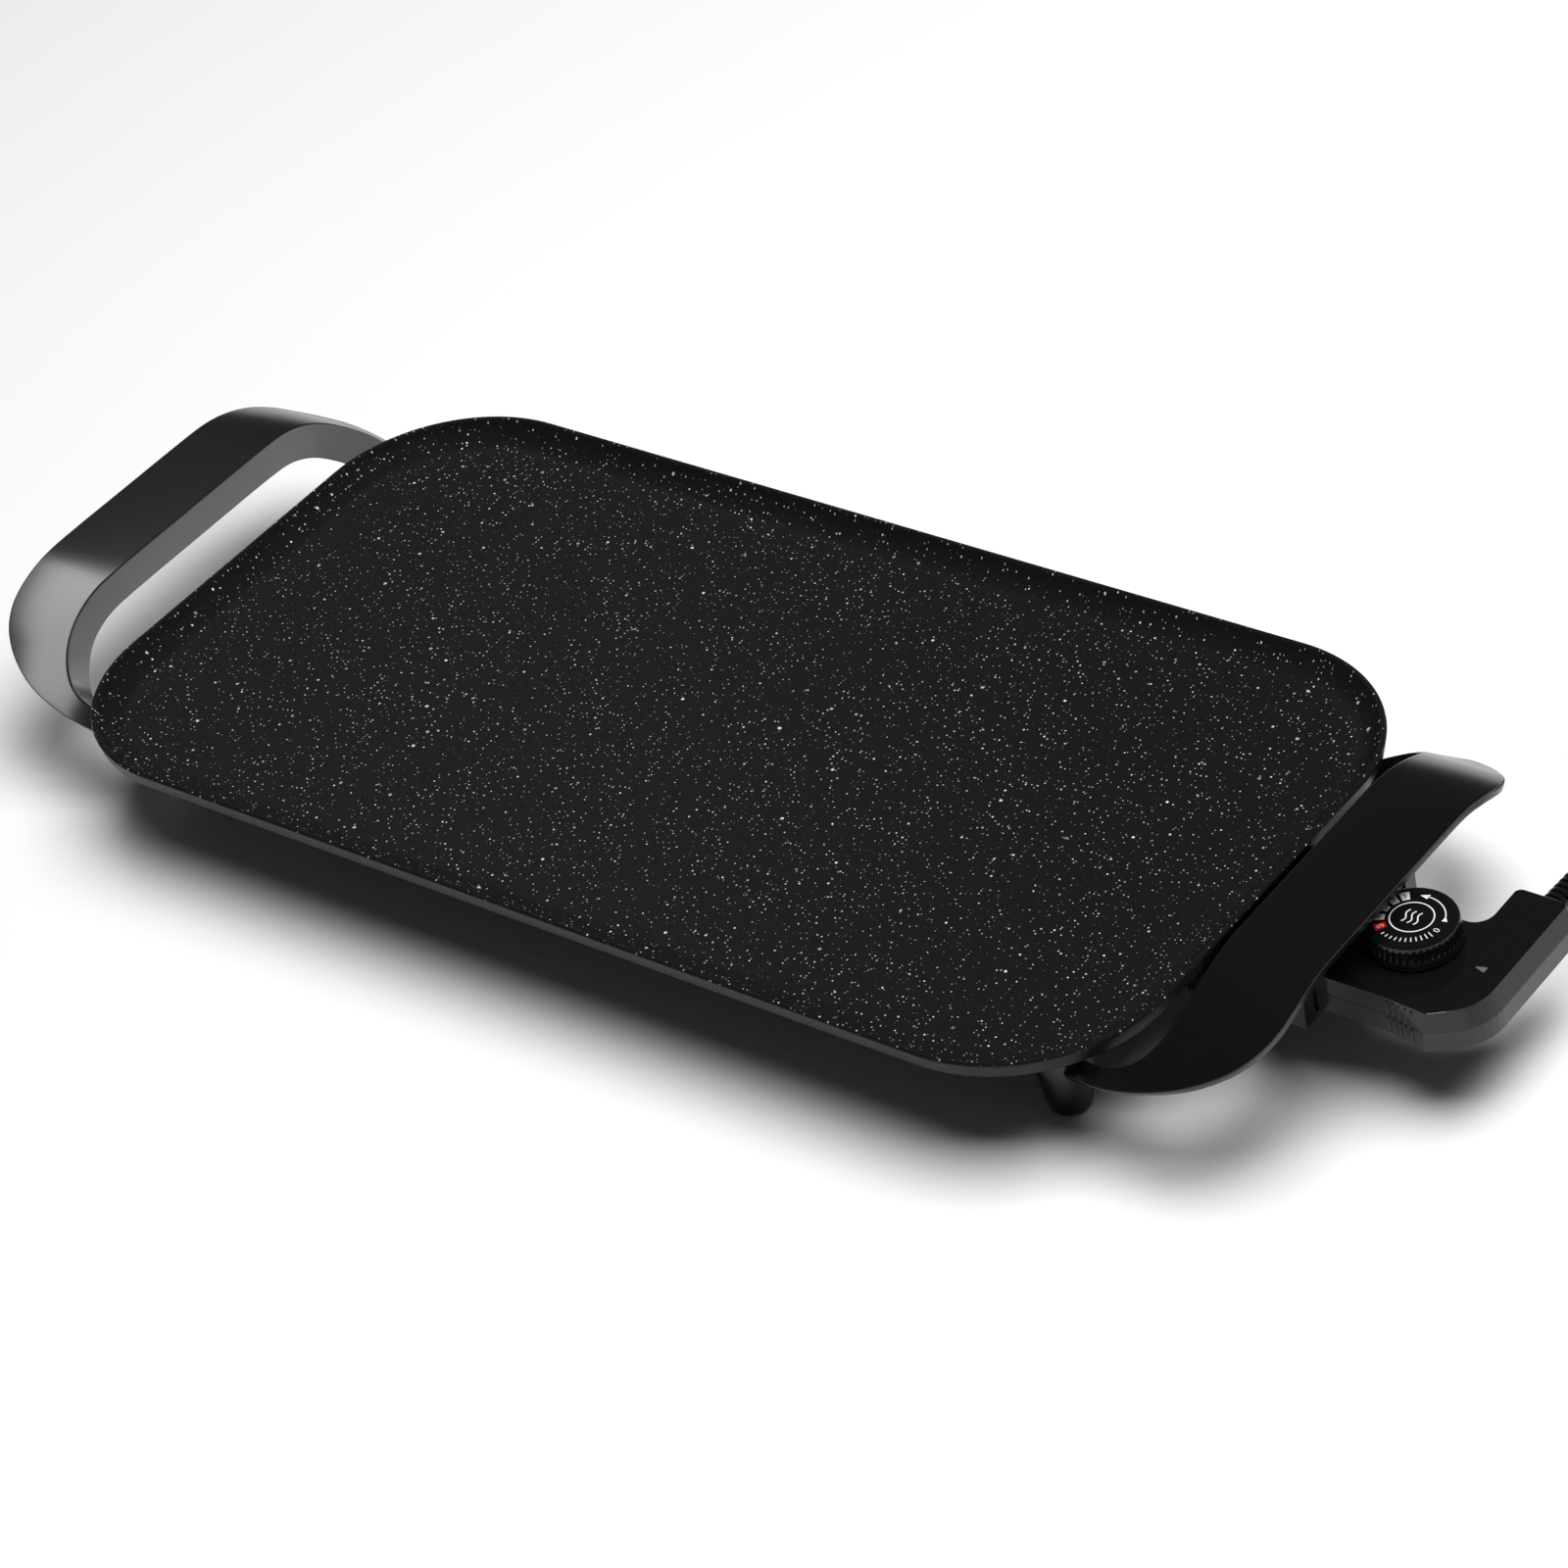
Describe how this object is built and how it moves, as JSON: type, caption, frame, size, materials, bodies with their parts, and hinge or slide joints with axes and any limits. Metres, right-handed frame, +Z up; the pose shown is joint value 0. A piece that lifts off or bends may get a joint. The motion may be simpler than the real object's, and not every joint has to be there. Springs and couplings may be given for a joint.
{
  "type": "electric griddle",
  "caption": "Flat electric table griddle: speckled non-stick plate with rounded corners, arched strap handles, short feet and a plug-in thermostat controller with a dial.",
  "frame": {"origin": "centre of the flat cooking surface", "axes": "+X along the plate's length towards the controller, +Y across the plate, +Z up out of the cooking surface"},
  "size_m": [0.7308, 0.4455, 0.075],
  "materials": {
    "coating": "satin speckled non-stick coating on cast aluminium",
    "phenolic": "satin moulded phenolic",
    "gloss_shell": "glossy moulded plastic",
    "dial_plastic": "glossy moulded plastic with printed marks",
    "element_steel": "drawn tube, heat tinted",
    "pin_steel": "polished nickel plate",
    "fixing_steel": "zinc plated",
    "probe_steel": "drawn stainless tube",
    "ceramic": "unglazed steatite",
    "brass_part": "turned, bright",
    "block_phenolic": "moulded brown phenolic",
    "bimetal": "rolled strip",
    "blade_bronze": "rolled strip",
    "silver": "bright",
    "pad_rubber": "matte",
    "clamp_nylon": "natural nylon",
    "lead_brown": "pvc insulation",
    "lead_blue": "pvc insulation",
    "lead_green": "pvc insulation",
    "cord_pvc": "satin pvc sheath",
    "tie_strap": "woven hook and loop strap"
  },
  "bodies": {
    "griddle": {"griddle_plate": "coating", "heating_element": "element_steel", "terminal_pins": "pin_steel", "pin_insulators": "ceramic", "socket_guard": "phenolic", "guard_screws": "fixing_steel", "left_handle": "phenolic", "right_handle": "phenolic", "handle_screws": "fixing_steel", "foot_pads": "pad_rubber"},
    "controller": {"lower_housing": "gloss_shell", "upper_housing": "gloss_shell", "housing_screws": "fixing_steel", "terminal_block": "block_phenolic", "terminal_sockets": "brass_part", "probe_rod": "probe_steel", "thermostat_frame": "fixing_steel", "blade_spacers": "ceramic", "bimetal_blade": "bimetal", "contact_blade": "blade_bronze", "silver_contacts": "silver", "dial_bush": "brass_part", "cord_clamp": "clamp_nylon", "clamp_screws": "fixing_steel", "live_lead": "lead_brown", "neutral_lead": "lead_blue", "earth_lead": "lead_green", "strain_relief": "cord_pvc", "power_cord": "cord_pvc", "cord_coil": "cord_pvc", "cord_tie": "tie_strap", "plug_body": "cord_pvc", "plug_pins": "pin_steel", "plug_earth_clips": "brass_part"},
    "dial": {"dial_shaft": "probe_steel", "dial_knob": "dial_plastic"}
  },
  "joints": [
    {"name": "controller_slide", "type": "slide", "parent": "griddle", "child": "controller", "axis": [1, 0, 0], "range_m": [0, 0.115]},
    {"name": "dial_turn", "type": "hinge", "parent": "controller", "child": "dial", "pos_m": [0.3365, 0, 0.0063], "axis": [0, 0, -1], "range_deg": [0, 240]}
  ]
}
